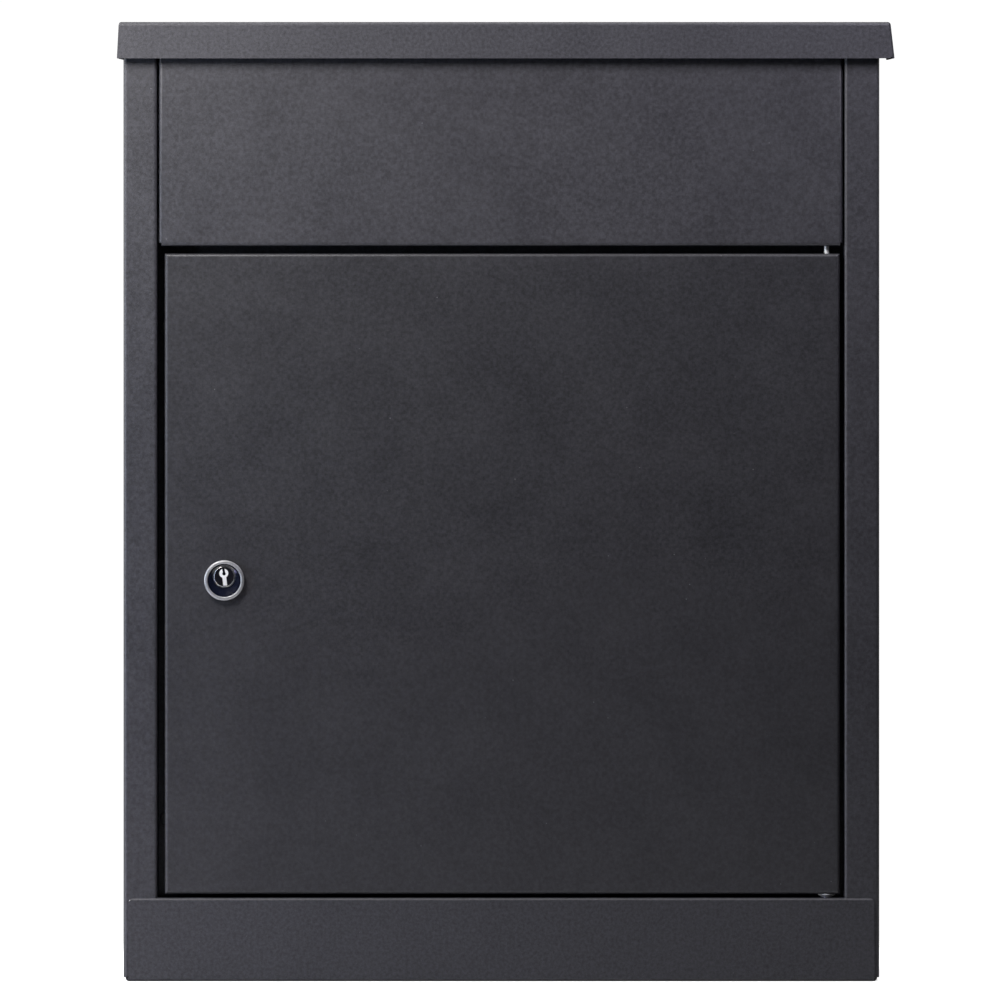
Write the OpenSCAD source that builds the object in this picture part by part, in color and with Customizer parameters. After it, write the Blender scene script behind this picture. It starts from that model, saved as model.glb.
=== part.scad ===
// Parcel drop box: a folded steel cabinet with a rear-hinged lid, a tray that
// two links swing with the lid, and a front door with a cam lock.
// The front faces -Y, +X is to the right and the box stands on z = 0.

/* [Overall] */
// Height of the closed box
box_h = 580; // [480:1:700]
// Width across the two side panels
body_w = 457; // [380:1:560]
// Depth from the stiles' front face to the back panel's outer face
body_d = 331; // [275:1:400]

/* [Sheet metal] */
// Thickness of every folded sheet
sheet_t = 1.2; // [0.8:0.1:1.5]
// Bend radius at the middle of the sheet
bend_r = 1.5; // [1.4:0.1:2]
// Width of the corner relief where two folds meet
relief = 2.4; // [2.2:0.1:4]

/* [Lid] */
// Height of the lid's front and side lips
lip_h = 22; // [18:1:30]
// Distance that the front lip stands in front of the stiles
lid_overhang = 9; // [8:0.5:14]
// Gap between the left side lip and its side panel
lid_gap_left = 1.6; // [1:0.1:6]
// Gap between the right side lip and its side panel
lid_gap_right = 5.5; // [1:0.1:6]
// Distance that the front lip stops short of the left side lip's outside
seam_left = 0.2; // [0.1:0.1:1.2]
// Distance that the front lip stops short of the right side lip's outside
seam_right = 1.2; // [0.1:0.1:1.2]
// Angle that the left side lip flares outwards
left_flare = 3; // [0:0.5:8]
// Angle that the right side lip flares outwards
right_flare = 6.5; // [0:0.5:8]
// Gap between the lid's underside and the side panels' top edges
lid_gap = 4.8; // [4.5:0.1:8]

/* [Front] */
// Width of the left stile
left_stile = 20.4; // [18:0.1:26]
// Width of the right stile
right_stile = 21.2; // [18:0.1:26]
// Depth from the stiles' face to the door stops
rebate_d = 20; // [19:0.5:26]
// Width of the door stops
stop_w = 12; // [10:0.5:14]
// Height of the plinth
plinth_h = 50.4; // [40:0.1:70]
// Height of the fixed panel above the door
panel_h = 129.4; // [110:0.1:160]
// Gap between the fixed panel and each stile
panel_gap = 1.1; // [0.5:0.1:2]
// Distance that the plinth's ends stand in from the body's sides
plinth_inset = 2.9; // [1:0.1:5]

/* [Door] */
// Gap at the door's latch side
latch_gap = 4.5; // [3:0.1:6]
// Gap at the door's hinge side
hinge_gap = 2.7; // [2.6:0.1:4]
// Gap above the door
head_gap = 4.6; // [3:0.1:6]
// Gap below the door
foot_gap = 2.3; // [2:0.1:4]
// Depth of the door pan
door_d = 15; // [14:0.5:16]
// Distance of the hinge axis from the door's right edge
axis_in = 7.9; // [7:0.1:8]
// Distance of the hinge axis behind the door's face
axis_back = 6; // [5.5:0.1:6]

/* [Lock] */
// Distance of the lock's centre from the door's left edge
lock_in = 36; // [34:0.5:38]
// Height of the lock's centre above the door's bottom edge
lock_up = 189.7; // [120:0.1:260]
// Radius of the bezel
bezel_r = 12.15; // [11.7:0.05:13]
// Radius of the plug
plug_r = 6.35; // [5:0.05:6.5]
// Distance of the plug's axis above the bezel's centre
plug_up = 2.3; // [0:0.1:2.3]
// Length of the cam from the plug's axis to its tip
cam_l = 36; // [34:0.5:42]

/* [Tray linkage] */
// Angle that the lid opens, and that the tray swings
swing = 80; // [70:1:85]
// Length of the four cranks
crank_r = 70; // [60:1:80]
// Angle of the cranks below the horizontal when the lid is closed
crank_drop = 15; // [12:1:20]
// Distance of the tray's axis below the bottom edge of the fixed panel
tray_drop = 4.6; // [2:0.1:12]
// Clearance between the swinging tray's rear edge and the back panel
tray_back_gap = 1; // [0.4:0.1:6]
// Clearance between the open tray's front edge and the door stops
tray_clear = 5.6; // [3:0.1:12]
// Radius of the rod that the tray turns on
rod_r = 4; // [3:0.25:5]
// Radius of the link pins
link_pin_r = 3; // [2.5:0.25:3.5]

/* [Mounting holes] */
// Spacing of the wall holes across the back panel
wall_dx = 300; // [200:5:320]
// Spacing of the wall holes up the back panel
wall_dz = 350; // [300:5:360]
// Radius of the wall holes
wall_hole_r = 4.5; // [3:0.5:5]
// Spacing of the floor holes across the base
floor_dx = 340; // [200:5:350]
// Spacing of the floor holes from front to back
floor_dy = 220; // [150:5:230]
// Radius of the floor holes
floor_hole_r = 5; // [3:0.5:6]

/* [Hidden] */

powder = [0.24, 0.245, 0.27];
zinc = [0.72, 0.72, 0.7];
chrome = [0.8, 0.8, 0.82];
nylon = [0.93, 0.92, 0.88];
rubber = [0.07, 0.07, 0.07];
navy = [0.04, 0.05, 0.1];

// Clearances
run = 0.05;      // radial, a shaft that turns in a bore
link_run = 0.1;  // radial, the open pivot of the linkage
apart = 0.3;     // between two pieces that pass each other
tiny = 0.01;     // a cutter reaches this far past a face

// The box's faces
hw = body_w / 2;
depth = body_d + lid_overhang;
face_y = lid_overhang - depth / 2;
back_y = depth / 2;
back_in = back_y - sheet_t;
lid_front = -depth / 2;
roof_under = box_h - sheet_t;
side_top = roof_under - lid_gap;
side_bottom = 2.4;
side_in = hw - sheet_t;
stop_front = face_y + rebate_d;
stop_back = stop_front + sheet_t;
stile_l = -hw + left_stile;
stile_r = hw - right_stile;
panel_z = side_top - panel_h;
half_t = sheet_t / 2;
bumper_x = hw - 78.5;
bumper_y = face_y + 10;
bumper_stem_r = 3;

// Side panels
rear_flange = 15;
stop_l = stile_l + stop_w;
stop_r = stile_r - stop_w;

// Lid hinge: knuckles on a pin inside the rear top corner
hinge_pin_r = 1.5;
knuckle_r = 2.5;
leaf_t = 1;
leaf_l = 22;
leaf_off = 2.9;      // from the axis to the sheet that a leaf lies on
hinge_half = hw - 28.5;
knuckles = 9;
joggle = 4;
strip_in = back_in - joggle;
hinge_y = strip_in - leaf_off;
hinge_z = roof_under - leaf_off;
strip_top = hinge_z - 4.4;
joggle_z = hinge_z - leaf_l - 4;
strip_half = hw - rear_flange - 1;
rivet_n = 5;
rivet_z = hinge_z - 14;
roof_rear = hinge_y + leaf_off + sheet_t;
rivet_r = 2;
rivet_xs = [for (i = [0 : rivet_n - 1]) (i - (rivet_n - 1) / 2) * 2 * hinge_half / rivet_n];
wall_z = box_h / 2 + 10;

// Lid
lid_l = -hw - lid_gap_left - sheet_t;
lid_r = hw + lid_gap_right + sheet_t;
lip_bottom = box_h - lip_h;

// Door
door_l = stile_l + latch_gap;
door_r = stile_r - hinge_gap;
door_bottom = plinth_h + foot_gap;
door_top = panel_z - head_gap;
door_back = face_y + door_d;
axis_x = door_r - axis_in;
axis_y = face_y + axis_back;
upper_pin_r = 1.5;
lower_pin_r = 2;
bush_r = 4;
bush_rim_r = 5.25;
bush_tip_r = 2.7;

// Lock
lock_x = door_l + lock_in;
lock_z = door_bottom + lock_up;
plug_z = lock_z + plug_up;
barrel_r = 9.5;
keeper_t = 1.5;
cam_t = 2;
cam_half = 6.5;
cam_front = stop_back + keeper_t + 0.5;
cam_back = cam_front + cam_t;
barrel_end = cam_front - 0.4;
bezel_out = 4;

// Tray linkage, stacked outwards along X from the tray's side flange
crank_t = 2;
washer_t = 0.8;
link_t = 2.5;
link_w = 8;
stack_gap = 0.3;
tray_half = side_in - 9.4;
crank_out = tray_half + crank_t;
washer_in = crank_out + stack_gap;
link_in = washer_in + washer_t;
link_out = link_in + link_t;
tray_z = panel_z - tray_drop;
tray_bush_r = rod_r + 2;
tray_bush_rim = tray_bush_r + 1.6;
tray_top = tray_bush_rim + apart + bend_r + half_t;  // from the axis up to the open tray's top
tray_side = tray_top + 8;                            // height of the tray's flanges
tray_rear = tray_bush_r + 1.6;                       // from the axis back to the tray's edge
tray_y = back_in - tray_back_gap - norm([tray_rear, tray_top]);
tray_l = tray_y - stop_back - tray_clear;
lid_pin_y = hinge_y - crank_r * cos(crank_drop);
lid_pin_z = hinge_z - crank_r * sin(crank_drop);
tray_pin_y = tray_y - crank_r * cos(crank_drop);
tray_pin_z = tray_z - crank_r * sin(crank_drop);

$fn = 48;

// ---- helpers ----------------------------------------------------------

// Extrudes a Y-Z outline from x0 to x1
module along_x(x0, x1) translate([x0, 0, 0]) rotate([90, 0, 90]) linear_extrude(x1 - x0) children();

// Extrudes an X-Z outline from y0 to y1
module along_y(y0, y1) translate([0, y1, 0]) rotate([90, 0, 0]) linear_extrude(y1 - y0) children();

// Extrudes an X-Y outline from z0 to z1
module along_z(z0, z1) translate([0, 0, z0]) linear_extrude(z1 - z0) children();

// A box between two corners
module block(a, b) translate(a) cube(b - a);

// A round bar along X, Y or Z
module bar_x(x0, x1, y, z, r) translate([x0, y, z]) rotate([0, 90, 0]) cylinder(h = x1 - x0, r = r);
module bar_y(y0, y1, x, z, r) translate([x, y1, z]) rotate([90, 0, 0]) cylinder(h = y1 - y0, r = r);
module bar_z(z0, z1, x, y, r) translate([x, y, z0]) cylinder(h = z1 - z0, r = r);

// Repeats its children on the left, as a mirror image
module both_sides() {
    children();
    mirror([1, 0, 0]) children();
}

function heading(a, b) = atan2(b[1] - a[1], b[0] - a[0]);
function side_of(angle) = [-sin(angle), cos(angle)];
function turn_of(angle) = angle > 180 ? angle - 360 : angle < -180 ? angle + 360 : angle;
bend_steps = 6;

// The middle line through a bend, as [point, sideways direction] pairs
function bend(a, b, c, r) =
    let (in_dir = heading(a, b), turn = turn_of(heading(b, c) - in_dir), s = sign(turn))
    let (back = r * tan(abs(turn) / 2))
    let (start = b - back * [cos(in_dir), sin(in_dir)], centre = start + s * r * side_of(in_dir))
    [for (k = [0 : bend_steps])
        let (dir = in_dir + turn * k / bend_steps) [centre - s * r * side_of(dir), side_of(dir)]];

// The whole middle line of a folded sheet
function fold_line(path, r) = let (last = len(path) - 1) [
    [path[0], side_of(heading(path[0], path[1]))],
    for (i = [1 : last - 1]) each bend(path[i - 1], path[i], path[i + 1], r),
    [path[last], side_of(heading(path[last - 1], path[last]))]];

// The cross-section of a sheet folded along a path through its middle
module folded(path, t = sheet_t, r = bend_r) {
    line = fold_line(path, r);
    last = len(line) - 1;
    polygon([
        for (i = [0 : last]) line[i][0] + t / 2 * line[i][1],
        for (i = [last : -1 : 0]) line[i][0] - t / 2 * line[i][1]]);
}

// The outline round equal circles, whose centres are in anticlockwise order
round_steps = 12;
module around(centres, r) {
    last = len(centres) - 1;
    polygon([for (i = [0 : last])
        let (here = centres[i], from = heading(centres[i == 0 ? last : i - 1], here))
        let (turn = (heading(here, centres[i == last ? 0 : i + 1]) - from + 720) % 360)
        for (k = [0 : round_steps]) let (dir = from - 90 + turn * k / round_steps)
            here + r * [cos(dir), sin(dir)]]);
}

// A convex outline with its own radius at each corner
module rounded(points, radii) {
    last = len(points) - 1;
    polygon([for (i = [0 : last], p = bend(points[i == 0 ? last : i - 1], points[i],
        points[i == last ? 0 : i + 1], radii[i])) p[0]]);
}

// A dome-headed rivet along Y, from its head's face at y0 to its tail at y1
module rivet_y(y0, y1, x, z, r) {
    bar_y(y0 - 1.2, y0, x, z, 2 * r);
    bar_y(y0, y1, x, z, r);
    bar_y(y1, y1 + 1, x, z, 1.6 * r);
}

// The same along X, with its head outside, towards +X
module rivet_x(x0, x1, y, z, r) {
    bar_x(x0 - 1, x0, y, z, 1.6 * r);
    bar_x(x0, x1, y, z, r);
    bar_x(x1, x1 + 1.2, y, z, 2 * r);
}

// Cross-section of a block whose two front edges are rounded: y runs from the
// front face at y0 to y1, and the other direction from low to high
module block_section(low, high, y0, y1, r) polygon([
    [y1, high],
    for (p = bend([y1, high], [y0, high], [y0, low], r)) p[0],
    for (p = bend([y0, high], [y0, low], [y1, low], r)) p[0],
    [y1, low]]);

// A block whose front face is rounded along its four edges
module rounded_block(x0, x1, z0, z1, y0, y1, r) intersection() {
    along_x(x0, x1) block_section(z0, z1, y0, y1, r);
    along_z(z0, z1) mirror([1, -1, 0]) block_section(x0, x1, y0, y1, r);
}

// A pan: a face with four returns behind it and welded corners. Its upper and
// lower returns end short of the side returns.
module pan(x0, x1, z0, z1, y0, y1) difference() {
    rounded_block(x0, x1, z0, z1, y0, y1, bend_r + half_t);
    rounded_block(x0 + sheet_t, x1 - sheet_t, z0 + sheet_t, z1 - sheet_t, y0 + sheet_t, y1 + 1,
        bend_r - half_t);
    block([x0 + sheet_t, y1 - bend_r, z0 - 1], [x1 - sheet_t, y1 + 1, z1 + 1]);
}

// A hat section that stands towards +Y from y0, with its brims on y0
hat_brim = 12;
module hat(x, half_w, y0, h, z0, z1) {
    along_z(z0, z1) folded([
        [x - half_w - hat_brim, y0 + half_t], [x - half_w, y0 + half_t],
        [x - half_w, y0 + h - half_t], [x + half_w, y0 + h - half_t],
        [x + half_w, y0 + half_t], [x + half_w + hat_brim, y0 + half_t]]);
}

// ---- cabinet ----------------------------------------------------------

// A side panel in one sheet: rear flange, wall, stile and door stop
module side_panel(stile_w, stop_end) difference() {
    along_z(side_bottom, side_top) folded([
        [hw - rear_flange, back_in - half_t], [hw - half_t, back_in - half_t],
        [hw - half_t, face_y + half_t], [hw - stile_w + half_t, face_y + half_t],
        [hw - stile_w + half_t, stop_front + half_t], [stop_end, stop_front + half_t]]);
    // Room for the roof's rear edge as the lid opens
    block([0, hinge_y - 8, strip_top], [hw + 1, back_y, side_top + 1]);
}

module left_side_panel() color(powder) mirror([1, 0, 0]) side_panel(left_stile, -stop_l);

module right_side_panel() color(powder) side_panel(right_stile, stop_r);

module back_panel() color(powder) difference() {
    along_x(-hw + 1.5, hw - 1.5) folded([
        [back_y - half_t, side_bottom], [back_y - half_t, joggle_z],
        [strip_in + half_t, joggle_z + joggle], [strip_in + half_t, strip_top]]);
    for (side = [-1, 1]) {
        translate([side * (strip_half + 50), back_y, joggle_z + 48.8])
            cube([100, 30, 100], center = true);
        for (k = [0 : 1])
            bar_y(back_in - 1, back_y + 1, side * wall_dx / 2, wall_z + (k - 0.5) * wall_dz, wall_hole_r);
    }
    for (x = rivet_xs) bar_y(strip_in - 1, strip_in + 3, x, rivet_z, rivet_r);
}

// Floor pan: its front flange is the plinth, which laps over the stiles
base_flange = 40;
plinth_y = face_y - sheet_t;
plinth_half = hw - plinth_inset;
module base_tray() color(powder) difference() {
    union() {
        along_x(-plinth_half, plinth_half) folded([
            [back_in - half_t, base_flange], [back_in - half_t, half_t],
            [plinth_y + half_t, half_t], [plinth_y + half_t, plinth_h - half_t],
            [stop_front - bend_r, plinth_h - half_t]]);
        both_sides() along_y(face_y + relief, back_in - 10) folded([
            [side_in - half_t, base_flange], [side_in - half_t, half_t], [side_in - 12, half_t]]);
    }
    // The rear flange stands between the side panels' rear flanges
    for (side = [-1, 1]) translate([side * (strip_half + 50), back_in, 50])
        cube([100, 16, 98], center = true);
    // The plinth's return fits between the stiles
    block([-hw, face_y, plinth_h - 2 * sheet_t], [stile_l, stop_back, plinth_h + 1]);
    block([stile_r, face_y, plinth_h - 2 * sheet_t], [hw, stop_back, plinth_h + 1]);
    along_y(plinth_y - 1, face_y + tiny) difference() {
        square(3 * hw, center = true);
        rounded([[-plinth_half, plinth_h], [-plinth_half, 0], [plinth_half, 0], [plinth_half, plinth_h]],
            [3.6, 2, 2, 3.6]);
    }
    for (i = [-1, 1], j = [-1, 1])
        bar_z(-1, sheet_t + 1, i * floor_dx / 2, j * floor_dy / 2, floor_hole_r);
    bar_z(plinth_h - 4, plinth_h + 1, axis_x, axis_y, lower_pin_r);
}

panel_l = stile_l + panel_gap;
panel_r = stile_r - panel_gap;
notch_w = 1.4;
notch_h = 2;
module front_panel() color(powder) difference() {
    pan(panel_l, panel_r, panel_z, side_top, face_y, stop_front);
    // Notches that part the lower return from the side returns
    block([panel_l - 1, face_y - 1, panel_z - 1], [panel_l + notch_w, stop_front + 1, panel_z + notch_h]);
    block([panel_r - notch_w, face_y - 1, panel_z - 1], [panel_r + 1, stop_front + 1, panel_z + notch_h]);
    bar_z(panel_z - 1, panel_z + 4, axis_x, axis_y, upper_pin_r + run);
    for (side = [-1, 1])
        bar_z(side_top - 4, side_top + 1, side * bumper_x, bumper_y, bumper_stem_r);
}

// Angle behind the door's top edge, on the fixed panel's lower return
head_stop_drop = 15;
module head_stop() color(powder) difference() {
    union() {
        along_x(panel_l + relief, panel_r - relief) folded([
            [face_y + 2.5, panel_z + sheet_t + half_t], [stop_front - 3, panel_z + sheet_t + half_t]]);
        along_x(stop_l + apart, stop_r - apart) folded([
            [face_y + 5, panel_z + sheet_t + half_t],
            [stop_front + half_t, panel_z + sheet_t + half_t],
            [stop_front + half_t, panel_z - head_stop_drop]]);
    }
    bar_z(panel_z - 1, panel_z + 4, axis_x, axis_y, upper_pin_r + run);
}

// Plate that the cam turns behind
keeper_half = 30;
module latch_keeper() color(zinc) along_y(stop_back, stop_back + keeper_t) rounded([
    [stile_l + 1, plug_z - keeper_half], [stop_l, plug_z - keeper_half],
    [stop_l, plug_z + keeper_half], [stile_l + 1, plug_z + keeper_half]], [1, 4, 4, 1]);

// ---- lid hinge --------------------------------------------------------

// Cross-section of a leaf: u points away from the axis, v along the leaf
module leaf_shape() polygon([
    [leaf_off - leaf_t, leaf_l], [leaf_off, leaf_l], [leaf_off, 2.6],
    [knuckle_r - 0.2, 0.9], [leaf_off - leaf_t - 0.3, 0.9], [leaf_off - leaf_t, 2.6]]);

// One leaf with its knuckles: those with an odd number are the lid's. The leaf
// lies along -Z from the axis, against the sheet behind it.
knuckle_l = 2 * hinge_half / knuckles;
module leaf(odd) difference() {
    union() {
        along_x(-hinge_half, hinge_half) scale([1, -1]) leaf_shape();
        for (i = [0 : knuckles - 1]) if (i % 2 == odd)
            bar_x(-hinge_half + i * knuckle_l + apart / 2, -hinge_half + (i + 1) * knuckle_l - apart / 2,
                0, 0, knuckle_r);
    }
    for (i = [0 : knuckles - 1]) if (i % 2 != odd)
        block([-hinge_half + i * knuckle_l - apart / 2, -4, -knuckle_r - apart],
            [-hinge_half + (i + 1) * knuckle_l + apart / 2, 4, 4]);
    bar_x(-hinge_half - 1, hinge_half + 1, 0, 0, hinge_pin_r + (odd == 1 ? run : 0));
}

module hinge_body_leaf() color(zinc) difference() {
    translate([0, hinge_y, hinge_z]) leaf(0);
    for (x = rivet_xs) bar_y(strip_in - 3, strip_in + 1, x, rivet_z, rivet_r);
}

module hinge_lid_leaf() color(zinc)
    translate([0, hinge_y, hinge_z]) mirror([0, 1, -1]) leaf(1);

module hinge_pin() color(zinc) bar_x(-hinge_half - 1.5, hinge_half + 1.5, hinge_y, hinge_z, hinge_pin_r);

module hinge_rivets() color(zinc) for (x = rivet_xs)
    mirror([0, 1, 0]) rivet_y(-strip_in - sheet_t, -strip_in + leaf_t, x, rivet_z, rivet_r);

// ---- small cabinet pieces ---------------------------------------------

// Sockets that the side panels carry for the tray's rod
socket_end = link_in;
module rod_sockets() color(zinc) both_sides() difference() {
    union() {
        bar_x(side_in - 2, side_in, tray_y, tray_z, rod_r + 6);
        bar_x(socket_end, side_in, tray_y, tray_z, rod_r + 4);
    }
    bar_x(socket_end - 1, side_in + 1, tray_y, tray_z, rod_r);
}

module tray_rod() color(zinc) bar_x(-side_in + 0.2, side_in - 0.2, tray_y, tray_z, rod_r);

// A rubber bumper on a stem, pointing along +Z from the sheet's face at z = 0
module bumper(r, h) {
    rotate_extrude() polygon([
        [0, -sheet_t - 1.6], [bumper_stem_r - 1, -sheet_t - 1.6], [bumper_stem_r + 0.8, -sheet_t],
        [bumper_stem_r, -sheet_t], [bumper_stem_r, 0], [r, 0], [r, h - 1.4],
        for (a = [20 : 20 : 90]) [r - 1.4 + 1.4 * cos(a), h - 1.4 + 1.4 * sin(a)], [0, h]]);
}

module lid_bumpers() color(rubber) for (side = [-1, 1])
    translate([side * bumper_x, bumper_y, side_top]) bumper(6, lid_gap - apart);

bumper_zs = [door_bottom + 45, door_top - 45];
door_bumper_x = (stile_l + stop_l) / 2;
module door_bumpers() color(rubber) for (z = bumper_zs)
    translate([door_bumper_x, stop_front, z]) rotate([90, 0, 0])
        cylinder(h = rebate_d - door_d - apart, r1 = 5, r2 = 4.2);

module lower_door_pin() color(zinc) {
    bar_z(plinth_h - sheet_t - 1.6, plinth_h - sheet_t, axis_x, axis_y, 4.5);
    bar_z(plinth_h - sheet_t, door_bottom + 12, axis_x, axis_y, lower_pin_r);
}

// ---- lid --------------------------------------------------------------

// Roof and front lip in one strip
module lid_strip(x0, x1) along_x(x0, x1) folded([
    [roof_rear, box_h - half_t], [lid_front + half_t, box_h - half_t],
    [lid_front + half_t, lip_bottom]]);

// One side lip with its strip of the roof, drawn on the right
module side_lip(outer, flare) along_y(lid_front + relief, roof_rear) folded([
    [outer - 12, box_h - half_t], [outer - half_t, box_h - half_t],
    [outer - half_t + (lip_h - half_t) * tan(flare), lip_bottom]]);

// The front lip's ends follow the flare of the side lips
module lid_cap() color(powder) {
    lid_strip(lid_l + relief, lid_r - relief);
    side_lip(lid_r, right_flare);
    mirror([1, 0, 0]) side_lip(-lid_l, left_flare);
    intersection() {
        lid_strip(lid_l - lip_h, lid_r + lip_h);
        along_y(lid_front - 1, lid_front + relief) rounded([
            [lid_l + seam_left, box_h],
            [lid_l + seam_left - lip_h * tan(left_flare), lip_bottom],
            [lid_r - seam_right + lip_h * tan(right_flare), lip_bottom],
            [lid_r - seam_right, box_h]], [1.5, 2.2, 2.2, 1.5]);
    }
}

// Hat section across the underside of the roof
module lid_stiffener() color(powder) translate([0, 0, roof_under]) rotate([-90, 0, 0])
    rotate([0, 90, 0]) hat(0, 18, 0, 12, -hinge_half, hinge_half);

// A bracket that hangs from the roof beside the tray's linkage
crank_half = 20;
module lid_crank() difference() {
    intersection() {
        along_y(lid_pin_y - crank_half, lid_pin_y + crank_half) folded([
            [tray_half - 13, roof_under - crank_t / 2],
            [tray_half + crank_t / 2, roof_under - crank_t / 2],
            [tray_half + crank_t / 2, lid_pin_z - link_w]], crank_t, 2.2);
        along_x(0, hw) rounded([
            [lid_pin_y - crank_half, box_h], [lid_pin_y - crank_half, lid_pin_z - link_w],
            [lid_pin_y + crank_half, lid_pin_z - link_w], [lid_pin_y + crank_half, box_h]],
            [1, 8, 8, 1]);
    }
    bar_x(tray_half - 1, crank_out + 1, lid_pin_y, lid_pin_z, link_pin_r);
}
module lid_crank_right() color(zinc) lid_crank();
module lid_crank_left() color(zinc) mirror([1, 0, 0]) lid_crank();

// A shoulder rivet through a crank, a washer and a link
module link_rivet(y, z) {
    bar_x(tray_half - 1.4, tray_half, y, z, link_pin_r + 1.5);
    bar_x(tray_half, link_out + stack_gap, y, z, link_pin_r);
    bar_x(link_out + stack_gap, link_out + stack_gap + 1.4, y, z, link_pin_r + 2);
}

module lid_link_pins() color(zinc) both_sides() link_rivet(lid_pin_y, lid_pin_z);

// ---- links ------------------------------------------------------------

module link() along_x(link_in, link_out) difference() {
    around([[lid_pin_y, lid_pin_z], [tray_pin_y, tray_pin_z]], link_w);
    translate([lid_pin_y, lid_pin_z]) circle(link_pin_r + run);
    translate([tray_pin_y, tray_pin_z]) circle(link_pin_r + link_run);
}
module link_right() color(zinc) link();
module link_left() color(zinc) mirror([1, 0, 0]) link();

module washers() for (p = [[lid_pin_y, lid_pin_z], [tray_pin_y, tray_pin_z]])
    along_x(washer_in, link_in) translate(p) difference() {
        circle(link_w - 1.5);
        circle(link_pin_r + apart);
    }
module washers_right() color(nylon) washers();
module washers_left() color(nylon) mirror([1, 0, 0]) washers();

// ---- tray -------------------------------------------------------------

// Children drawn for the open, level tray, with the tray's axis as their
// origin, hang in the closed position
module hanging() translate([0, tray_y, tray_z]) rotate([swing, 0, 0]) children();

tray_crank_end = [-crank_r * cos(swing - crank_drop), crank_r * sin(swing - crank_drop)];
tray_rivet_ys = [-26, -52];
tray_rivet_r = 2;
module tray_plate() color(powder) hanging() difference() {
    union() {
        along_x(-tray_half + relief, tray_half - relief) folded([
            [-tray_l + 20, tray_top - half_t], [-tray_l + half_t, tray_top - half_t],
            [-tray_l + half_t, tray_top - tray_side]]);
        along_y(-tray_l + relief, tray_rear) folded([
            [-tray_half + half_t, tray_top - tray_side], [-tray_half + half_t, tray_top - half_t],
            [tray_half - half_t, tray_top - half_t], [tray_half - half_t, tray_top - tray_side]]);
    }
    bar_x(-tray_half - 1, tray_half + 1, 0, 0, tray_bush_r);
    for (y = tray_rivet_ys) bar_x(-tray_half - 1, tray_half + 1, y, 0, tray_rivet_r);
}

module tray_crank() hanging() along_x(tray_half, crank_out) difference() {
    around([[0, 0], tray_crank_end, [-60, 0]], link_w);
    circle(tray_bush_r);
    translate(tray_crank_end) circle(link_pin_r);
    for (y = tray_rivet_ys) translate([y, 0]) circle(tray_rivet_r);
}
module tray_crank_right() color(zinc) tray_crank();
module tray_crank_left() color(zinc) mirror([1, 0, 0]) tray_crank();

module tray_bushes() color(nylon) both_sides() difference() {
    union() {
        bar_x(tray_half - sheet_t - 2, tray_half - sheet_t, tray_y, tray_z, tray_bush_rim);
        bar_x(tray_half - sheet_t, crank_out + 0.3, tray_y, tray_z, tray_bush_r);
    }
    bar_x(tray_half - 6, crank_out + 3, tray_y, tray_z, rod_r + run);
}

module tray_link_pins() color(zinc) both_sides() link_rivet(tray_pin_y, tray_pin_z);

module tray_rivets() color(zinc) both_sides() hanging() for (y = tray_rivet_ys)
    rivet_x(tray_half - sheet_t, crank_out, y, 0, tray_rivet_r);

// ---- door -------------------------------------------------------------

module door_panel() color(powder) difference() {
    pan(door_l, door_r, door_bottom, door_top, face_y, door_back);
    bar_z(door_top - 4, door_top + 1, axis_x, axis_y, upper_pin_r);
    bar_z(door_bottom - 1, door_bottom + 4, axis_x, axis_y, bush_r);
    bar_y(face_y - 1, face_y + 4, lock_x, lock_z, barrel_r);
}

module door_stiffener() color(powder)
    hat(0, 18, face_y + sheet_t, door_d - sheet_t - 1, door_bottom + 20, door_top - 20);

// Brackets that hold the hinge pins a second time inside the door
bracket_half = 10;
bracket_up = 22;
module pin_bracket(z, up, hole_r) difference() {
    along_x(axis_x - bracket_half, door_r - sheet_t - bend_r) folded([
        [face_y + sheet_t + half_t, z + up * 14], [face_y + sheet_t + half_t, z],
        [door_back - 1, z]]);
    bar_z(z - 2, z + 2, axis_x, axis_y, hole_r);
}
module upper_pin_bracket() color(zinc) pin_bracket(door_top - bracket_up, -1, upper_pin_r);
module lower_pin_bracket() color(zinc) pin_bracket(door_bottom + bracket_up, 1, lower_pin_r + 1);

pin_head_r = axis_back - sheet_t - half_t - bend_r - 0.1;  // clear of the bracket's bend
module upper_door_pin() color(zinc) {
    bar_z(door_top - bracket_up - half_t - 1.6, door_top - bracket_up - half_t, axis_x, axis_y,
        pin_head_r);
    bar_z(door_top - bracket_up - half_t, panel_z + 2 * sheet_t + 1, axis_x, axis_y, upper_pin_r);
}

// Open clip pushed on the upper pin below the door's top return
module upper_pin_clip() color(zinc) along_z(door_top - sheet_t - 2.2, door_top - sheet_t - 1.4)
    translate([axis_x, axis_y]) difference() {
        circle(upper_pin_r + 2);
        circle(upper_pin_r);
        translate([-1, 0]) square([2, 10]);
    }

// Nylon bush with a conical collar that carries the door on its lower pin
module door_bush() color(nylon) translate([axis_x, axis_y, 0]) rotate_extrude() polygon([
    [lower_pin_r + run, plinth_h + apart], [bush_tip_r, plinth_h + apart],
    [bush_rim_r, door_bottom - 0.5], [bush_rim_r, door_bottom], [bush_r, door_bottom],
    [bush_r, door_bottom + 8], [lower_pin_r + run, door_bottom + 8]]);

// ---- lock -------------------------------------------------------------

dish_r = 10;
dish_edge = 1;      // depth of the dish's rim behind the bezel's front
dish_deep = 2.8;    // depth of the dish's middle behind the bezel's front
dish_back = 3.8;    // depth of the dish's back face
bezel_y = face_y - bezel_out;
lip_end = dish_r + 0.9;
groove_r = (lip_end + bezel_r - 0.4) / 2;
groove_half = 0.12;

// A solid of revolution about the lock's centre: the outline gives radius and
// the distance behind the bezel's front
module lock_turned() translate([lock_x, bezel_y, lock_z]) rotate([-90, 0, 0]) rotate_extrude($fn = 96)
    children();

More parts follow.
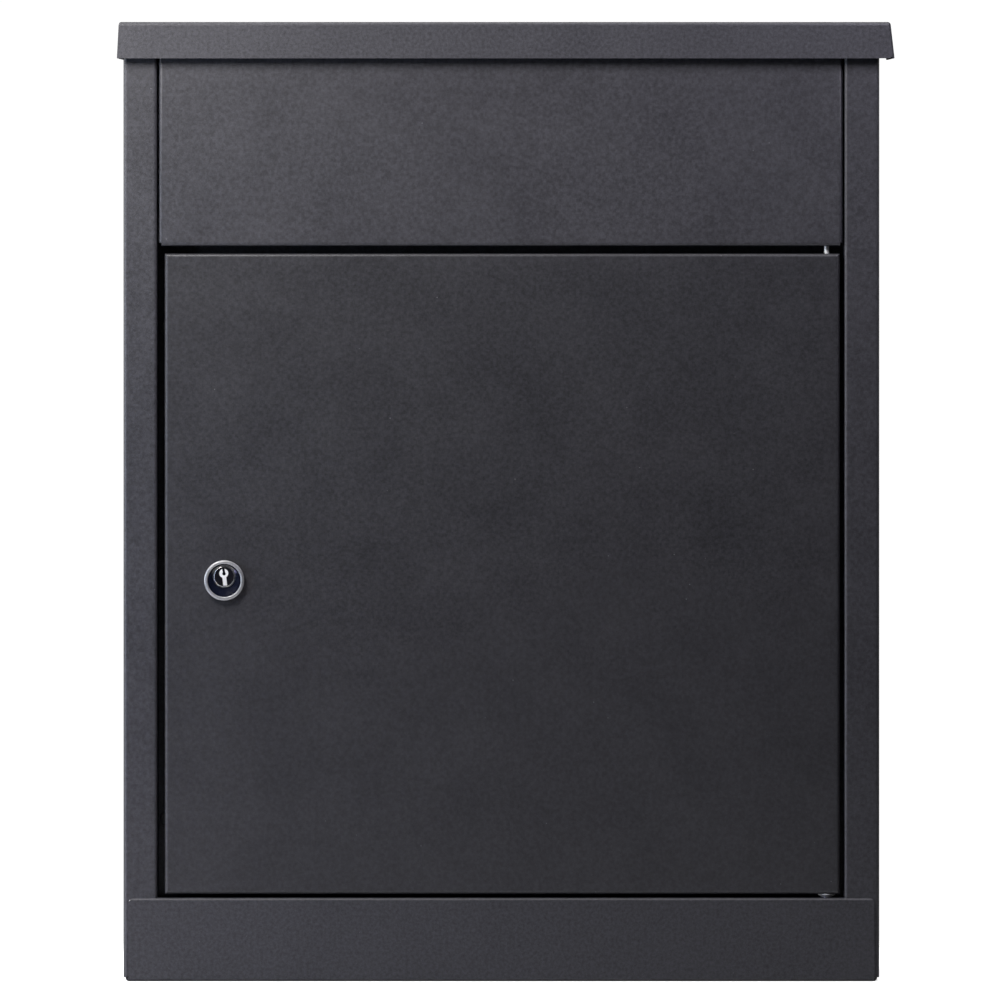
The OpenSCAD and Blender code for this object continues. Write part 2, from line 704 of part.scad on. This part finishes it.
module lock_housing() color(chrome) difference() {
    lock_turned() difference() {
        polygon([
            [0, dish_back], [dish_r, dish_back], [dish_r, dish_edge - 0.4],
            for (a = [180 : -30 : 60]) [dish_r + 0.6 + 0.6 * cos(a), 0.6 - 0.6 * sin(a)],
            [groove_r - groove_half, 0.1], [groove_r, 0.35], [groove_r + groove_half, 0.12],
            for (a = [60 : -20 : 0]) [bezel_r - 0.8 + 0.8 * cos(a), 1 - 0.8 * sin(a)],
            [bezel_r, bezel_out], [barrel_r, bezel_out],
            [barrel_r, barrel_end - bezel_y], [0, barrel_end - bezel_y]]);
    }
    bar_y(bezel_y, barrel_end + 1, lock_x, plug_z, plug_r + run);
}

module lock_dish() color(navy) difference() {
    lock_turned() polygon([
        [0, dish_back], [dish_r, dish_back], [dish_r, dish_edge],
        for (k = [0 : 8]) let (s = 1 - k / 8) [
            (dish_r - 0.3) * s, dish_deep - (dish_deep - dish_edge) * s * s]]);
    bar_y(bezel_y, barrel_end, lock_x, plug_z, plug_r + 0.5);
}

module lock_nut() color(zinc) difference() {
    translate([lock_x, face_y + sheet_t + 5, lock_z]) rotate([90, 0, 0]) cylinder(h = 5, r = 14, $fn = 6);
    bar_y(face_y, face_y + 10, lock_x, lock_z, barrel_r);
}

plug_face = bezel_y + 1.4;
square_w = 7;
keyway_d = 9;
keyway_turn = 7;    // angle that the keyway stands off the vertical
plug_chamfer = 0.35;

// Outline of the keyway: a stem below a round head that is open at its top
module keyway() rotate(keyway_turn) difference() {
    union() {
        translate([0, 2]) circle(2.8);
        translate([-1.25, -5.5]) square([2.5, 6]);
    }
    translate([-0.55, 1.6]) square([1.3, 4]);
    translate([0.1, 1.7]) circle(0.95);
}

module lock_plug() color(zinc) difference() {
    union() {
        translate([lock_x, plug_face + plug_chamfer, plug_z]) rotate([90, 0, 0])
            cylinder(h = plug_chamfer, r1 = plug_r, r2 = plug_r - plug_chamfer);
        bar_y(plug_face + plug_chamfer, cam_front - 0.05, lock_x, plug_z, plug_r);
        translate([lock_x - square_w / 2, cam_front - 0.1, plug_z - square_w / 2])
            cube([square_w, cam_t + 0.1, square_w]);
    }
    along_y(plug_face - 1, plug_face + keyway_d) translate([lock_x, plug_z]) keyway();
    bar_y(cam_front - 6, cam_back + 1, lock_x, plug_z, 2);
}

// Cam that hangs down when unlocked and turns towards the keeper
module lock_cam() color(zinc) along_y(cam_front, cam_back) translate([lock_x, plug_z]) difference() {
    around([[0, 0], [0, cam_half - cam_l]], cam_half);
    square(square_w, center = true);
}

module cam_washer() color(zinc) difference() {
    bar_y(cam_back, cam_back + 0.8, lock_x, plug_z, 5.5);
    bar_y(cam_back - 1, cam_back + 2, lock_x, plug_z, 2);
}

module cam_screw() color(zinc) difference() {
    union() {
        bar_y(cam_front - 5.5, cam_back + 0.8, lock_x, plug_z, 2);
        bar_y(cam_back + 0.8, cam_back + 3.2, lock_x, plug_z, 3.8);
    }
    for (turn = [0, 90]) translate([lock_x, cam_back + 2.9, plug_z]) rotate([0, turn, 0])
        cube([4.4, 1.4, 0.9], center = true);
}

// ---- every sub-part by its node name -----------------------------------

left_side_panel();
right_side_panel();
back_panel();
base_tray();
front_panel();
head_stop();
latch_keeper();
hinge_body_leaf();
hinge_pin();
hinge_rivets();
rod_sockets();
tray_rod();
lid_bumpers();
door_bumpers();
lower_door_pin();
lid_cap();
lid_stiffener();
hinge_lid_leaf();
lid_crank_left();
lid_crank_right();
lid_link_pins();
tray_plate();
tray_crank_left();
tray_crank_right();
tray_bushes();
tray_link_pins();
tray_rivets();
link_left();
link_right();
washers_left();
washers_right();
door_panel();
door_stiffener();
upper_pin_bracket();
lower_pin_bracket();
upper_door_pin();
upper_pin_clip();
door_bush();
lock_housing();
lock_dish();
lock_nut();
lock_plug();
lock_cam();
cam_washer();
cam_screw();
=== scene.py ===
import math

import bmesh
import bpy
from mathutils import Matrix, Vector


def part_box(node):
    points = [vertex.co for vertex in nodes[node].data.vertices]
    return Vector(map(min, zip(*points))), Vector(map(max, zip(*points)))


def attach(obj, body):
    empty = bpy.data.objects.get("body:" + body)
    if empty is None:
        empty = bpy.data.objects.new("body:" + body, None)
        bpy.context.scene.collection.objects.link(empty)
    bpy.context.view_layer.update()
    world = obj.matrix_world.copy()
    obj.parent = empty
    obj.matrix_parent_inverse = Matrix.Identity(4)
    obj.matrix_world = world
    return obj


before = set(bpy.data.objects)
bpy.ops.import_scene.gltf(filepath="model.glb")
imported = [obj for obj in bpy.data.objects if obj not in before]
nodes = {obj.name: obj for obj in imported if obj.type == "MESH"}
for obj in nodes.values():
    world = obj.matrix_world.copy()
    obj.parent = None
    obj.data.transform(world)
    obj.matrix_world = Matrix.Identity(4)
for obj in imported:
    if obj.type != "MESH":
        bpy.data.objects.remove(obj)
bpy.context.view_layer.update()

MM = 0.001


# ---- node helpers --------------------------------------------------------

class Tree:
    """A node tree with short calls: each call adds a node and returns its main output."""

    def __init__(self, tree):
        self.tree = tree

    def add(self, kind, values=None, **settings):
        node = self.tree.nodes.new(kind)
        for name, value in settings.items():
            setattr(node, name, value)
        for key, value in (values or {}).items():
            self.put(node.inputs[key], value)
        return node

    def put(self, socket, value):
        if isinstance(value, bpy.types.NodeSocket):
            self.tree.links.new(value, socket)
        else:
            socket.default_value = value

    def math(self, operation, *values):
        node = self.add("ShaderNodeMath", operation=operation)
        for socket, value in zip(node.inputs, values):
            self.put(socket, value)
        return node.outputs[0]

    def vector(self, operation, a, b, out="Vector"):
        node = self.add("ShaderNodeVectorMath", operation=operation)
        self.put(node.inputs[0], a)
        self.put(node.inputs[1], b)
        return node.outputs[out]

    def noise(self, where, scale, detail=2.0, roughness=0.5):
        node = self.add("ShaderNodeTexNoise", {"Vector": where, "Scale": scale,
                                               "Detail": detail, "Roughness": roughness})
        return node.outputs["Fac"]

    def span(self, value, low, high, to_low, to_high, smooth=False):
        node = self.add("ShaderNodeMapRange", {
            "Value": value, "From Min": low, "From Max": high, "To Min": to_low, "To Max": to_high})
        node.interpolation_type = "SMOOTHSTEP" if smooth else "LINEAR"
        return node.outputs["Result"]

    def mix(self, factor, a, b):
        node = self.add("ShaderNodeMix", data_type="RGBA")
        self.put(node.inputs["Factor"], factor)
        self.put(node.inputs[6], a)
        self.put(node.inputs[7], b)
        return node.outputs[2]

    def bump(self, height, strength, distance, normal=None):
        node = self.add("ShaderNodeBump", {"Height": height, "Strength": strength,
                                           "Distance": distance})
        if normal is not None:
            self.put(node.inputs["Normal"], normal)
        return node.outputs["Normal"]


def material(name, **fixed):
    """A Principled material. Returns it with its tree, its shader and object coordinates."""
    made = bpy.data.materials.new(name)
    made.use_nodes = True
    tree = Tree(made.node_tree)
    shader = made.node_tree.nodes["Principled BSDF"]
    for key, value in fixed.items():
        shader.inputs[key.replace("_", " ")].default_value = value
    where = tree.add("ShaderNodeTexCoord").outputs["Object"]
    return made, tree, shader, where


def grey(level, blue=1.0):
    return (level, level, level * blue, 1)


# ---- materials -----------------------------------------------------------

def powder_coat(name, base, painted_glints=()):
    """Fine-textured anthracite powder coat: orange peel, a fine grain, faint clouding and a few
    pale specks. Each painted glint is (centre, angle, half length, half width) of a pale mark on a
    front face: a painted highlight."""
    made, t, shader, where = material(name, Metallic=0.0, Specular_IOR_Level=0.5)
    peel = t.noise(where, 620.0, 2.0, 0.6)
    grain = t.noise(where, 2100.0, 2.0, 0.6)
    cloud = t.noise(where, 26.0, 3.0, 0.55)
    mottle = t.noise(where, 500.0, 3.0, 0.65)
    tone = t.math("ADD", t.span(mottle, 0.3, 0.7, -0.55, 0.55), t.span(cloud, 0.3, 0.7, -0.06, 0.06))
    tone = t.math("ADD", tone, t.span(grain, 0.3, 0.7, -0.25, 0.25))
    dark = tuple(c * 0.4 for c in base[:3]) + (1,)
    light = tuple(c * 1.6 for c in base[:3]) + (1,)
    colour = t.mix(t.span(tone, -0.8, 0.8, 0.0, 1.0), dark, light)
    cells = t.add("ShaderNodeTexVoronoi", {"Vector": where, "Scale": 105.0})
    rare = t.math("GREATER_THAN", t.add("ShaderNodeSeparateColor", {
        "Color": cells.outputs["Color"]}).outputs["Red"], 0.72)
    speck = t.math("MULTIPLY", rare, t.span(cells.outputs["Distance"], 0.022, 0.04, 1.0, 0.0))
    colour = t.mix(t.math("MULTIPLY", speck, 0.32), colour, (0.34, 0.34, 0.36, 1))
    rough = t.math("ADD", t.span(cloud, 0.3, 0.7, 0.44, 0.5), t.span(grain, 0.3, 0.7, -0.05, 0.05))
    # These marks are painted highlights: each pale ellipse stands in for a glint of light on a rounded
    # edge.
    for centre, angle, half_length, half_width in painted_glints:
        away = t.vector("SUBTRACT", where, centre)
        along = (math.cos(angle), 0.0, math.sin(angle))
        across = (-math.sin(angle), 0.0, math.cos(angle))
        u = t.math("DIVIDE", t.vector("DOT_PRODUCT", away, along, "Value"), half_length)
        v = t.math("DIVIDE", t.vector("DOT_PRODUCT", away, across, "Value"), half_width)
        ragged = t.span(t.noise(where, 1900.0, 2.0), 0.3, 0.7, -0.25, 0.25)
        inside = t.math("ADD", t.math("ADD", t.math("POWER", u, 2.0), t.math("POWER", v, 2.0)), ragged)
        painted_glint = t.span(inside, 0.75, 1.05, 1.0, 0.0)
        colour = t.mix(painted_glint, colour, (0.82, 0.82, 0.8, 1))
    t.put(shader.inputs["Base Color"], colour)
    t.put(shader.inputs["Roughness"], rough)
    normal = t.bump(peel, 0.34, 0.00022)
    t.put(shader.inputs["Normal"], t.bump(grain, 0.24, 0.00009, normal))
    return made


def zinc_plate(name, base, low, high, axis, metallic=1.0):
    """Zinc-plated steel, with a roughness from low to high: faint drawing marks along one axis
    and soft clouding."""
    made, t, shader, where = material(name, Metallic=metallic)
    stretch = [1.0, 1.0, 1.0]
    stretch[axis] = 0.05
    drawn = t.add("ShaderNodeMapping", {"Vector": where, "Scale": stretch}).outputs["Vector"]
    lines = t.noise(drawn, 2600.0, 3.0, 0.6)
    cloud = t.noise(where, 95.0, 3.0, 0.6)
    dark = tuple(c * 0.8 for c in base) + (1,)
    light = tuple(base) + (1,)
    t.put(shader.inputs["Base Color"], t.mix(t.span(cloud, 0.3, 0.7, 0.0, 1.0), dark, light))
    t.put(shader.inputs["Roughness"], t.math("ADD", t.span(cloud, 0.3, 0.7, low, high),
                                             t.span(lines, 0.3, 0.7, -0.05, 0.05)))
    t.put(shader.inputs["Normal"], t.bump(lines, 0.16, 0.00004))
    return made


def chrome_plate(name):
    """Satin chrome with a faint haze and hairline marks."""
    made, t, shader, where = material(name, Metallic=1.0)
    haze = t.noise(where, 700.0, 3.0, 0.6)
    marks = t.noise(where, 3800.0, 2.0, 0.6)
    t.put(shader.inputs["Base Color"], t.mix(haze, (0.36, 0.36, 0.37, 1), (0.42, 0.42, 0.43, 1)))
    t.put(shader.inputs["Roughness"], t.span(haze, 0.3, 0.7, 0.42, 0.5))
    t.put(shader.inputs["Normal"], t.bump(marks, 0.08, 0.00002))
    return made


def nylon_white(name):
    """Moulded white nylon with a fine grain."""
    made, t, shader, where = material(name, Metallic=0.0)
    cloud = t.noise(where, 210.0, 2.0)
    grain = t.noise(where, 2400.0, 2.0)
    t.put(shader.inputs["Base Color"], t.mix(cloud, (0.92, 0.92, 0.90, 1), (0.97, 0.97, 0.96, 1)))
    t.put(shader.inputs["Roughness"], t.span(grain, 0.3, 0.7, 0.36, 0.46))
    t.put(shader.inputs["Normal"], t.bump(grain, 0.12, 0.00004))
    return made


def rubber_black(name):
    """Moulded rubber with a dusty bloom."""
    made, t, shader, where = material(name, Metallic=0.0)
    bloom = t.noise(where, 160.0, 3.0, 0.6)
    grain = t.noise(where, 1900.0, 2.0)
    t.put(shader.inputs["Base Color"], t.mix(bloom, grey(0.012), grey(0.028)))
    t.put(shader.inputs["Roughness"], t.span(bloom, 0.3, 0.7, 0.62, 0.78))
    t.put(shader.inputs["Normal"], t.bump(grain, 0.3, 0.00008))
    return made


RING_PITCH = 0.6 * MM


def dish_enamel(name, centre):
    """Glossy near-black navy enamel with faint rings round the lock's axis."""
    made, t, shader, where = material(name, Coat_Weight=1.0, Coat_Roughness=0.06)
    away = t.vector("MULTIPLY", t.vector("SUBTRACT", where, centre), (1.0, 0.0, 1.0))
    radius = t.add("ShaderNodeVectorMath", {0: away}, operation="LENGTH").outputs["Value"]
    rings = t.math("SINE", t.math("MULTIPLY", radius, 2 * math.pi / RING_PITCH))
    cloud = t.noise(where, 420.0, 3.0)
    t.put(shader.inputs["Base Color"], t.mix(cloud, (0.002, 0.003, 0.008, 1), (0.005, 0.007, 0.018, 1)))
    t.put(shader.inputs["Roughness"], t.span(cloud, 0.3, 0.7, 0.14, 0.24))
    t.put(shader.inputs["Normal"], t.bump(rings, 0.10, 0.00001))
    return made


PAINT_DEPTH, PAINT_EDGE = 0.12 * MM, 0.06 * MM


def plug_metal(name, axis_point, face_y, face_r):
    """Zinc-plated plug: its front face is black inside a bright turned rim."""
    made, t, shader, where = material(name)
    away = t.vector("SUBTRACT", where, axis_point)
    flat = t.vector("MULTIPLY", away, (1.0, 0.0, 1.0))
    radius = t.add("ShaderNodeVectorMath", {0: flat}, operation="LENGTH").outputs["Value"]
    depth = t.add("ShaderNodeSeparateXYZ", {"Vector": where}).outputs["Y"]
    front = t.math("LESS_THAN", depth, face_y + PAINT_DEPTH)
    inside = t.span(radius, face_r - PAINT_EDGE, face_r + PAINT_EDGE, 1.0, 0.0)
    black = t.math("MULTIPLY", front, inside)
    cloud = t.noise(where, 900.0, 3.0, 0.6)
    metal = t.mix(cloud, (0.60, 0.60, 0.61, 1), (0.74, 0.74, 0.75, 1))
    paint = t.mix(cloud, (0.004, 0.004, 0.006, 1), (0.010, 0.010, 0.013, 1))
    t.put(shader.inputs["Base Color"], t.mix(black, metal, paint))
    t.put(shader.inputs["Metallic"], t.math("SUBTRACT", 1.0, black))
    t.put(shader.inputs["Roughness"], t.span(cloud, 0.3, 0.7, 0.14, 0.26))
    t.put(shader.inputs["Normal"], t.bump(cloud, 0.05, 0.00003))
    return made


def steel_painted_highlight(name):
    """Bright steel of the keyway's shutter, near-white and mostly diffuse: a painted highlight."""
    made, t, shader, where = material(name, Metallic=0.35)
    wear = t.noise(where, 1500.0, 3.0, 0.6)
    t.put(shader.inputs["Base Color"], t.mix(wear, (0.90, 0.90, 0.89, 1), (0.97, 0.97, 0.96, 1)))
    t.put(shader.inputs["Roughness"], t.span(wear, 0.3, 0.7, 0.40, 0.50))
    t.put(shader.inputs["Normal"], t.bump(wear, 0.1, 0.00003))
    return made


POWDER = (0.0330, 0.0328, 0.0385)


# Scales the one powder colour: a factor above 1 paints light and a factor below 1 paints shade.
def powder_painted_shading(factor):
    return tuple(c * factor for c in POWDER) + (1,)


low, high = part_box("base_tray")
# A painted highlight: a pale mark on the plinth's rounded top-left corner, where a glint of light
# falls.
plinth_painted_glint = ((low.x + 2.2 * MM, low.y, 48.9 * MM), math.radians(55), 0.95 * MM, 0.38 * MM)
# Lit and shaded copies of one powder colour: the lid and the plinth are painted lighter (painted
# light), and the door is painted darker (painted shade).
powders = {
    "body": powder_coat("powder_body", powder_painted_shading(1.0)),
    "side": powder_coat("powder_side", powder_painted_shading(0.99)),
    "lid": powder_coat("powder_lid_painted_light", powder_painted_shading(1.14)),
    "door": powder_coat("powder_door_painted_shade", powder_painted_shading(0.655)),
    "base": powder_coat("powder_base_painted_light", powder_painted_shading(1.08), [plinth_painted_glint]),
}
powder_of = {"lid_cap": "lid", "lid_stiffener": "lid", "door_panel": "door",
             "door_stiffener": "door", "base_tray": "base",
             "left_side_panel": "side", "right_side_panel": "side"}
zinc_x = zinc_plate("zinc_drawn_x", (0.60, 0.60, 0.60), 0.28, 0.42, 0)
zinc_z = zinc_plate("zinc_drawn_z", (0.62, 0.62, 0.61), 0.26, 0.40, 2)
# The upper door pin gets a whitened, less metallic zinc: a painted highlight for the pin seen inside
# the door's gap.
zinc_pin_painted_highlight = zinc_plate("zinc_pin_painted_highlight", (0.95, 0.95, 0.93), 0.42, 0.5, 2, 0.4)
chrome = chrome_plate("chrome")
nylon = nylon_white("nylon")
rubber = rubber_black("rubber")

low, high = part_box("lock_housing")
bezel_centre = Vector(((low.x + high.x) / 2, low.y, (low.z + high.z) / 2))
low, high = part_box("lock_plug")
plug_face = low.y
plug_centre = Vector(((low.x + high.x) / 2, plug_face, (low.z + high.z) / 2))
plug_r = (high.x - low.x) / 2
enamel = dish_enamel("dish_enamel", tuple(bezel_centre))
plug_finish = plug_metal("plug_metal", tuple(plug_centre), plug_face, plug_r - 0.36 * MM)

ALONG_X = ("hinge_body_leaf", "hinge_lid_leaf", "hinge_pin", "tray_rod", "rod_sockets")
slot_of = {name: obj.data.materials[0].name.split(".")[0] for name, obj in nodes.items()}
finish_of = {"zinc": zinc_z, "nylon": nylon, "rubber": rubber, "chrome": chrome, "navy": enamel}
for name, obj in nodes.items():
    if slot_of[name] == "powder":
        finish = powders[powder_of.get(name, "body")]
    elif name == "lock_plug":
        finish = plug_finish
    elif name == "upper_door_pin":
        finish = zinc_pin_painted_highlight
    elif name in ALONG_X:
        finish = zinc_x
    else:
        finish = finish_of[slot_of[name]]
    obj.material_slots[0].link = "OBJECT"
    obj.material_slots[0].material = finish


# ---- softened edges on the CAD pieces -------------------------------------

def geometry_group(name):
    """An empty geometry node group. Returns it with its tree and its incoming mesh."""
    group = bpy.data.node_groups.new(name, "GeometryNodeTree")
    for way in ("INPUT", "OUTPUT"):
        group.interface.new_socket("Geometry", in_out=way, socket_type="NodeSocketGeometry")
    t = Tree(group)
    return group, t, t.add("NodeGroupInput").outputs[0]


def weld_group():
    """Joins the import's split vertices and drops its stored normals."""
    group, t, start = geometry_group("weld")
    bare = t.add("GeometryNodeRemoveAttribute", {"Geometry": start, "Name": "custom_normal"})
    joined = t.add("GeometryNodeMergeByDistance", {
        "Geometry": bare.outputs[0], "Distance": 2e-6})
    t.add("NodeGroupOutput", {0: joined.outputs[0]})
    return group


def shade_group(degrees, flat_area):
    """Smooth shading, with sharp edges where faces meet at more than an angle, and round every
    large flat face."""
    group, t, start = geometry_group("shade")
    angle = t.add("GeometryNodeInputMeshEdgeAngle").outputs["Unsigned Angle"]
    area = t.add("GeometryNodeInputMeshFaceArea").outputs[0]
    wide = t.add("GeometryNodeFieldOnDomain", {0: area}, domain="EDGE", data_type="FLOAT").outputs[0]
    rim = t.math("MULTIPLY", t.math("GREATER_THAN", wide, flat_area / 2),
                 t.math("GREATER_THAN", angle, math.radians(2)))
    sharp = t.math("MAXIMUM", rim, t.math("GREATER_THAN", angle, math.radians(degrees)))
    faces = t.add("GeometryNodeSetShadeSmooth", {"Geometry": start, "Shade Smooth": True},
                  domain="FACE").outputs[0]
    edges = t.add("GeometryNodeSetShadeSmooth", {"Geometry": faces, "Selection": sharp,
                                                 "Shade Smooth": False}, domain="EDGE")
    t.add("NodeGroupOutput", {0: edges.outputs[0]})
    return group


SHARP_DEGREES, FLAT_AREA = 35, 300 * MM * MM
WELD, SHADE = weld_group(), shade_group(SHARP_DEGREES, FLAT_AREA)


def bevel(obj, width, segments):
    edge = obj.modifiers.new("edge", "BEVEL")
    edge.width = width
    edge.segments = segments
    edge.limit_method = "ANGLE"
    edge.angle_limit = math.radians(40)
    return edge


def shaded(obj):
    obj.modifiers.new("shade", "NODES").node_group = SHADE


def soften(obj, width):
    """Rounds a CAD piece's edges without a change to its mesh."""
    obj.modifiers.new("weld", "NODES").node_group = WELD
    flat = obj.modifiers.new("flat", "DECIMATE")
    flat.decimate_type = "DISSOLVE"
    flat.angle_limit = math.radians(0.4)
    bevel(obj, width, 2).miter_outer = "MITER_ARC"
    shaded(obj)
    weighted = obj.modifiers.new("weighted", "WEIGHTED_NORMAL")
    weighted.keep_sharp = True
    weighted.weight = 80


EDGE_WIDTH = {"powder": 0.30, "zinc": 0.16, "nylon": 0.12, "rubber": 0.25, "chrome": 0.03, "navy": 0.03}
for name, obj in nodes.items():
    soften(obj, EDGE_WIDTH[slot_of[name]] * MM)


# ---- the keyway's shutter --------------------------------------------------

def linked(name, data):
    obj = bpy.data.objects.new(name, data)
    bpy.context.scene.collection.objects.link(obj)
    return obj


def mesh_object(name, bm, finish):
    mesh = bpy.data.meshes.new(name)
    bmesh.ops.recalc_face_normals(bm, faces=bm.faces)
    bm.to_mesh(mesh)
    bm.free()
    mesh.materials.append(finish)
    return linked(name, mesh)


def arc(cx, cz, r, start, end, steps):
    """Points (x, z) along an arc between two angles in degrees."""
    return [(cx + r * math.cos(math.radians(start + (end - start) * k / steps)),
             cz + r * math.sin(math.radians(start + (end - start) * k / steps)))
            for k in range(steps + 1)]


def plate(outline, y0, y1):
    """A flat plate with the outline (x, z) between two depths."""
    bm = bmesh.new()
    front = [bm.verts.new((x, y0, z)) for x, z in outline]
    back = [bm.verts.new((x, y1, z)) for x, z in outline]
    bm.faces.new(front)
    bm.faces.new(back[::-1])
    count = len(outline)
    for k in range(count):
        bm.faces.new((front[k], back[k], back[(k + 1) % count], front[(k + 1) % count]))
    return bm


# A spring plate that closes the keyway behind its mouth, in mm from the plug's axis: a stem
# below an open head
HEAD_R, HEAD_Z, STEM_HALF, STEM_END = 2.8, 2.0, 1.25, -5.5
MOUTH_R, MOUTH_X, MOUTH_Z = 0.95, 0.1, 1.7
CLEAR = 0.08                 # play between the plate and the keyway
TURN_DEGREES = 7
neck = math.degrees(math.asin(STEM_HALF / HEAD_R))
outline = [(-STEM_HALF + CLEAR, STEM_END + CLEAR), (STEM_HALF - CLEAR, STEM_END + CLEAR)]
outline += arc(0, HEAD_Z, HEAD_R - CLEAR, -90 + neck, 90 - 16, 24)
outline += arc(MOUTH_X, MOUTH_Z, MOUTH_R + CLEAR, 50, -230, 20)
outline += arc(0, HEAD_Z, HEAD_R - CLEAR, 90 + 12, 270 - neck, 24)
turn = math.radians(TURN_DEGREES)
placed = [(plug_centre.x + MM * (x * math.cos(turn) - z * math.sin(turn)),
           plug_centre.z + MM * (x * math.sin(turn) + z * math.cos(turn))) for x, z in outline]
# The shutter's near-white, mostly diffuse finish is a painted highlight.
shutter = mesh_object("keyway_shutter", plate(placed, plug_face + 0.25 * MM, plug_face + 1.05 * MM),
                      steel_painted_highlight("steel_painted_highlight"))
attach(shutter, "lock")
bevel(shutter, 0.18 * MM, 3)
shaded(shutter)


# ---- floor, light and camera -----------------------------------------------

def disc(radius, sides=96):
    bm = bmesh.new()
    bm.faces.new([bm.verts.new((x, y, 0)) for x, y in arc(0, 0, radius, 0, 360, sides)[:-1]])
    return bm


# A pale floor that fades out towards its rim. To the camera it is nearly white, and it sends no
# light back to the object.
FLOOR_R, FADE_FROM, FADE_TO = 1.2, 0.5, 1.0
floor_finish, t, shader, where = material("floor_pale", Roughness=0.85)
t.put(shader.inputs["Base Color"], t.mix(t.noise(where, 3.0, 2.0), grey(0.88), grey(0.92)))
away = t.add("ShaderNodeVectorMath", {0: where}, operation="LENGTH").outputs["Value"]
t.put(shader.inputs["Alpha"], t.span(away, FADE_FROM, FADE_TO, 1.0, 0.0, smooth=True))
shader.inputs["Emission Color"].default_value = (1, 1, 1, 1)
seen = t.add("ShaderNodeLightPath").outputs["Is Camera Ray"]
t.put(shader.inputs["Emission Strength"], t.math("MULTIPLY", seen, 0.75))
floor = mesh_object("floor", disc(FLOOR_R), floor_finish)
floor.location.z = -0.3 * MM
floor.visible_diffuse = False

# White background for the camera, and a faint even light on the object
world = bpy.data.worlds.new("studio")
bpy.context.scene.world = world
world.use_nodes = True
world.node_tree.nodes.clear()
t = Tree(world.node_tree)
seen = t.add("ShaderNodeLightPath").outputs["Is Camera Ray"]
lit = t.add("ShaderNodeBackground", {"Color": (0.95, 0.96, 1.0, 1), "Strength": 0.015})
plain = t.add("ShaderNodeBackground", {"Color": (1, 1, 1, 1), "Strength": 1.05})
chosen = t.add("ShaderNodeMixShader", {0: seen, 1: lit.outputs[0], 2: plain.outputs[0]})
t.add("ShaderNodeOutputWorld", {"Surface": chosen.outputs[0]})


def point_at(obj, place, aim):
    obj.location = place
    obj.rotation_euler = (aim - place).to_track_quat("-Z", "Y").to_euler()


def area_light(name, place, aim, size, power, colour):
    data = bpy.data.lights.new(name, "AREA")
    data.shape = "RECTANGLE"
    data.size, data.size_y = size
    data.energy = power
    data.color = colour
    light = linked(name, data)
    point_at(light, Vector(place), Vector(aim))
    light.visible_camera = False


# Name, place, aim, size, watts and colour. The first five light the front from close by, the next
# four reach the sides, back and roof, and the last two catch the bends.
LIGHTS = (
    ("key", (-0.45, -0.6, 0.8), (-0.15, -0.16, 0.5), (0.25, 0.25), 6.89, (1.0, 0.971, 0.96)),
    ("top_near", (0.35, -0.5, 0.8), (0.15, -0.16, 0.5), (0.2, 0.2), 1.67, (0.884, 0.86, 1.0)),
    ("strip_left", (-0.6, -0.45, 0.3), (-0.2, -0.16, 0.25), (0.1, 0.5), 1.45, (0.62, 0.76, 1.0)),
    ("card_left", (-0.35, -0.36, 0.006), (-0.25, -0.25, 0.3), (0.2, 0.2), 0.3, (1.0, 0.9, 0.72)),
    ("low_left", (-0.45, -0.5, 0.05), (-0.15, -0.16, 0.02), (0.2, 0.06), 0.18, (0.45, 0.45, 1.0)),
    ("side_left", (-1.5, 0.1, 0.7), (-0.2, 0.05, 0.3), (0.9, 0.9), 9, (1, 1, 1)),
    ("side_right", (1.5, 0.1, 0.7), (0.2, 0.05, 0.3), (0.9, 0.9), 4, (1, 1, 1)),
    ("rear", (0.2, 1.6, 1.1), (0, 0.17, 0.3), (1.2, 0.9), 12, (1, 1, 1)),
    ("above", (0.0, 0.35, 1.9), (0, 0.1, 0.3), (1.0, 1.0), 4.5, (1, 1, 1)),
    ("rim_left", (-1.6, -0.35, 0.35), (-0.2, -0.16, 0.3), (0.4, 0.8), 6, (1, 1, 1)),
    ("rim_top", (-0.1, -0.35, 1.6), (-0.05, -0.16, 0.4), (0.8, 0.3), 6, (1, 1, 1)),
)
for row in LIGHTS:
    area_light(*row)

PIXEL = 0.6046 * MM          # one pixel of a 1000-pixel frame, at the stiles' face
FRAME_PIXELS = 1000
DISTANCE = 20.0
CAMERA_Z = 0.5
SENSOR = 36.0
stile_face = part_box("left_side_panel")[0].y
camera_data = bpy.data.cameras.new("camera")
camera_data.sensor_width = SENSOR
camera_data.lens = SENSOR * DISTANCE / (FRAME_PIXELS * PIXEL)
camera_data.clip_end = 100
camera = linked("camera", camera_data)
middle = Vector((-1.4 * PIXEL, stile_face, 481.3 * PIXEL))
point_at(camera, Vector((middle.x, middle.y - DISTANCE, CAMERA_Z)), middle)
bpy.context.scene.camera = camera
bpy.context.scene.view_settings.view_transform = "Standard"
